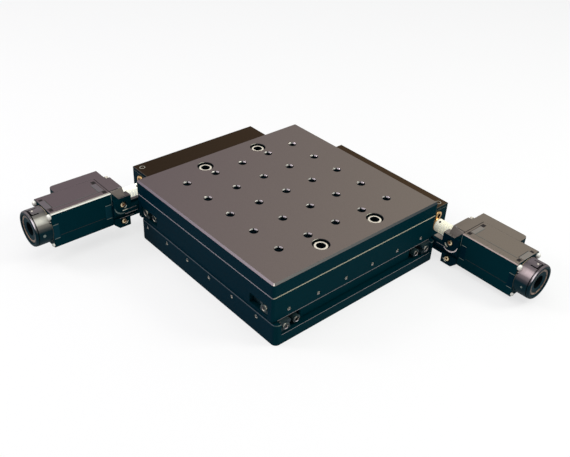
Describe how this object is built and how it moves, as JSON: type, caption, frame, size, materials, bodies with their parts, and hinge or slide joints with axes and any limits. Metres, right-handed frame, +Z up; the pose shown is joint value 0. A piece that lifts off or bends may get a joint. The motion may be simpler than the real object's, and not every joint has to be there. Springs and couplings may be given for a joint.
{
  "type": "motorised alignment stage",
  "caption": "Low two-axis motorised positioning stage: a square tapped table on crossed-roller rails, moved along X and Y by two side-mounted screw drives with motors.",
  "frame": {"origin": "middle of the base's underside", "axes": "+Z up, +X along the lower drive towards its motor, +Y along the upper axis away from its motor"},
  "size_m": [0.2689, 0.2655, 0.0472],
  "materials": {
    "black_anodised": "black anodised, satin",
    "brown_anodised": "dark brown-black anodised, satin",
    "moulded_black": "black, matt",
    "steel": "ground steel",
    "dark_steel": "black oxide",
    "brass": "plain brass",
    "ivory_plastic": "ivory, satin"
  },
  "bodies": {
    "base": {"base_plate": "black_anodised", "x_rail_outer_front": "steel", "x_rail_outer_back": "steel", "x_housing": "brown_anodised", "x_housing_cover": "brown_anodised", "x_bearing": "steel", "x_bracket": "black_anodised", "x_bracket_screw_1": "brass", "x_bracket_screw_2": "brass", "x_motor": "moulded_black", "x_end_cap": "moulded_black", "x_connector": "moulded_black"},
    "middle": {"middle_block": "black_anodised", "x_rail_inner_front": "steel", "x_rail_inner_back": "steel", "y_rail_inner_left": "steel", "y_rail_inner_right": "steel", "x_ball_nut": "steel", "y_housing": "brown_anodised", "y_housing_cover": "brown_anodised", "y_bearing": "steel", "y_bracket": "black_anodised", "y_bracket_screw_1": "brass", "y_bracket_screw_2": "brass", "y_motor": "moulded_black", "y_end_cap": "moulded_black", "y_connector": "moulded_black"},
    "table": {"table_frame": "black_anodised", "top_plate": "black_anodised", "table_screw_1": "dark_steel", "table_screw_2": "dark_steel", "table_screw_3": "dark_steel", "table_screw_4": "dark_steel", "y_rail_outer_left": "steel", "y_rail_outer_right": "steel", "y_ball_nut": "steel"},
    "x_screw": {"x_ball_screw": "steel", "x_lock_nut": "brass", "x_coupling": "ivory_plastic", "x_motor_shaft": "steel"},
    "y_screw": {"y_ball_screw": "steel", "y_lock_nut": "brass", "y_coupling": "ivory_plastic", "y_motor_shaft": "steel"},
    "x_front_cage": {"x_cage_front": "brass"},
    "x_back_cage": {"x_cage_back": "brass"},
    "y_left_cage": {"y_cage_left": "brass"},
    "y_right_cage": {"y_cage_right": "brass"}
  },
  "joints": [
    {"name": "x_slide", "type": "slide", "parent": "base", "child": "middle", "axis": [1, 0, 0], "range_m": [-0.0024, 0.0076]},
    {"name": "y_slide", "type": "slide", "parent": "middle", "child": "table", "axis": [0, 1, 0], "range_m": [-0.005, 0.005]},
    {"name": "x_screw_turn", "type": "hinge", "parent": "base", "child": "x_screw", "pos_m": [0, 0.0915, 0.0178], "axis": [1, 0, 0], "range_deg": [-2737, 865]},
    {"name": "y_screw_turn", "type": "hinge", "parent": "middle", "child": "y_screw", "pos_m": [-0.0949, 0, 0.0279], "axis": [0, -1, 0], "range_deg": [-1801, 1801]},
    {"name": "x_front_cage_slide", "type": "slide", "parent": "base", "child": "x_front_cage", "axis": [1, 0, 0], "range_m": [-0.0013, 0.0039]},
    {"name": "x_back_cage_slide", "type": "slide", "parent": "base", "child": "x_back_cage", "axis": [1, 0, 0], "range_m": [-0.0013, 0.0039]},
    {"name": "y_left_cage_slide", "type": "slide", "parent": "middle", "child": "y_left_cage", "axis": [0, 1, 0], "range_m": [-0.0026, 0.0026]},
    {"name": "y_right_cage_slide", "type": "slide", "parent": "middle", "child": "y_right_cage", "axis": [0, 1, 0], "range_m": [-0.0026, 0.0026]}
  ],
  "couplings": [
    {"joint": "x_screw_turn", "follows": "x_slide", "rad_per_m": -6283.2},
    {"joint": "y_screw_turn", "follows": "y_slide", "rad_per_m": 6283.2},
    {"joint": "x_front_cage_slide", "follows": "x_slide", "ratio": 0.5},
    {"joint": "x_back_cage_slide", "follows": "x_slide", "ratio": 0.5},
    {"joint": "y_left_cage_slide", "follows": "y_slide", "ratio": 0.5},
    {"joint": "y_right_cage_slide", "follows": "y_slide", "ratio": 0.5}
  ]
}
